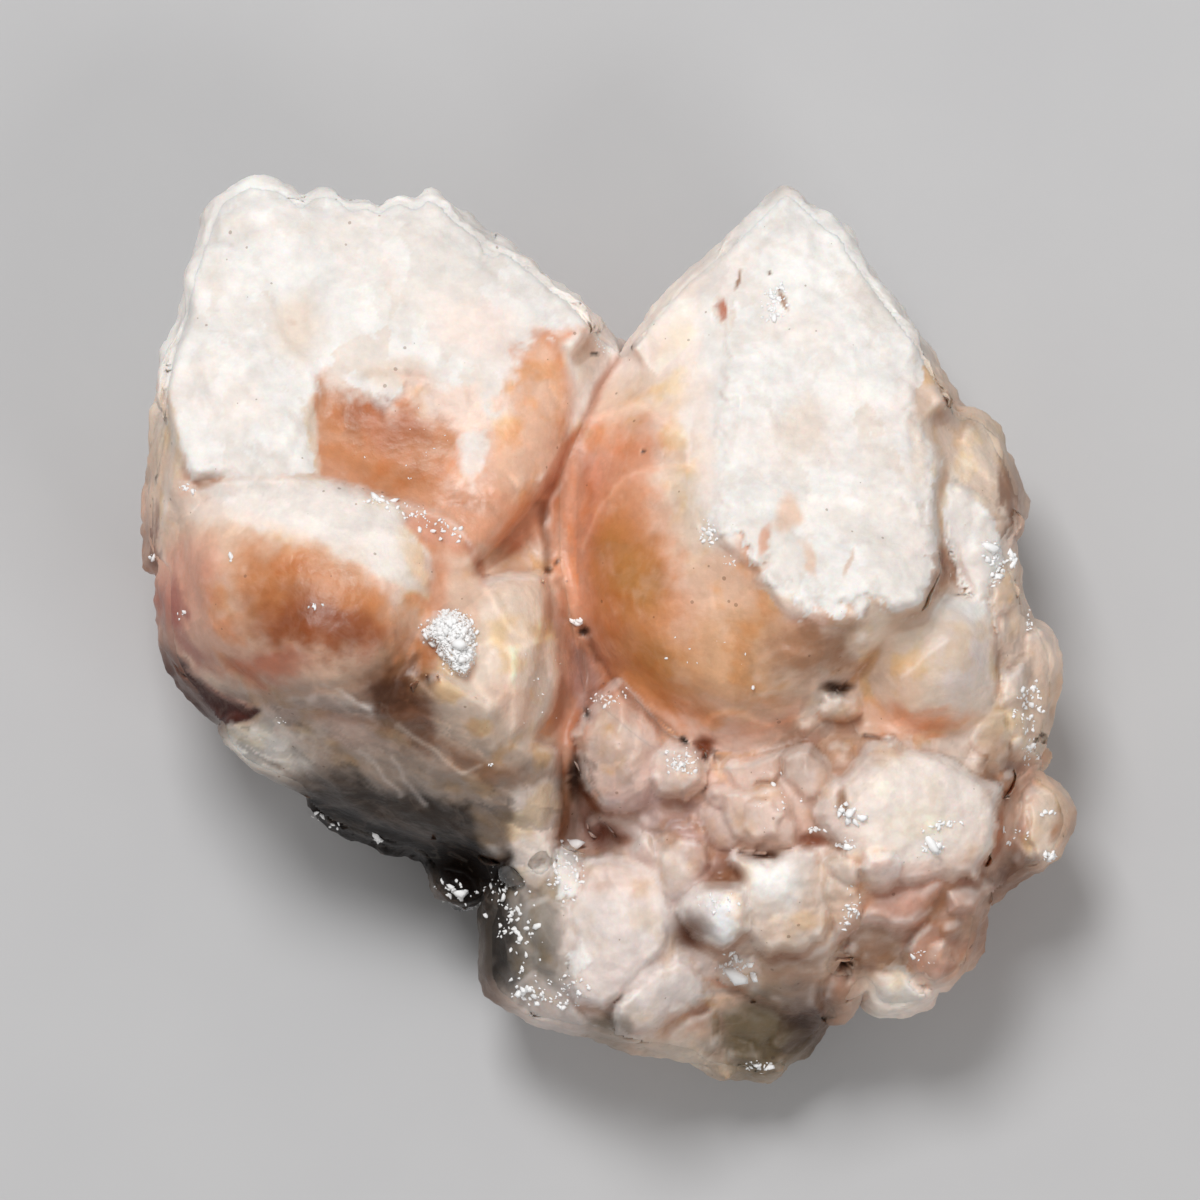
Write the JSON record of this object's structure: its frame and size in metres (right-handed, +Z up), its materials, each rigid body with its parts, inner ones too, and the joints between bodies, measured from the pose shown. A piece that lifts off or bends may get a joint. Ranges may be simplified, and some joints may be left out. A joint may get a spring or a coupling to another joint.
{
  "type": "cobaltoan calcite specimen",
  "caption": "Cluster of blunt, grown-together calcite crystals with a frosted crust and rubbly foot, cut flat behind so that it lies with its crystals facing up.",
  "frame": {"origin": "centre of the bounding box in X and Y, on the flat cut that the specimen rests on", "axes": "+X along the longest side, to the right as the picture shows it; +Y towards the tips of the two big crystals; +Z up out of the flat cut, towards the viewer of the picture"},
  "size_m": [0.0934, 0.0904, 0.0466],
  "materials": {
    "frosted_calcite": "waxy, translucent calcite: peach and amber where clear, white and grainy where frosted, smoky at the lower left"
  },
  "bodies": {
    "root": {"calcite_cluster": "frosted_calcite"}
  },
  "joints": []
}
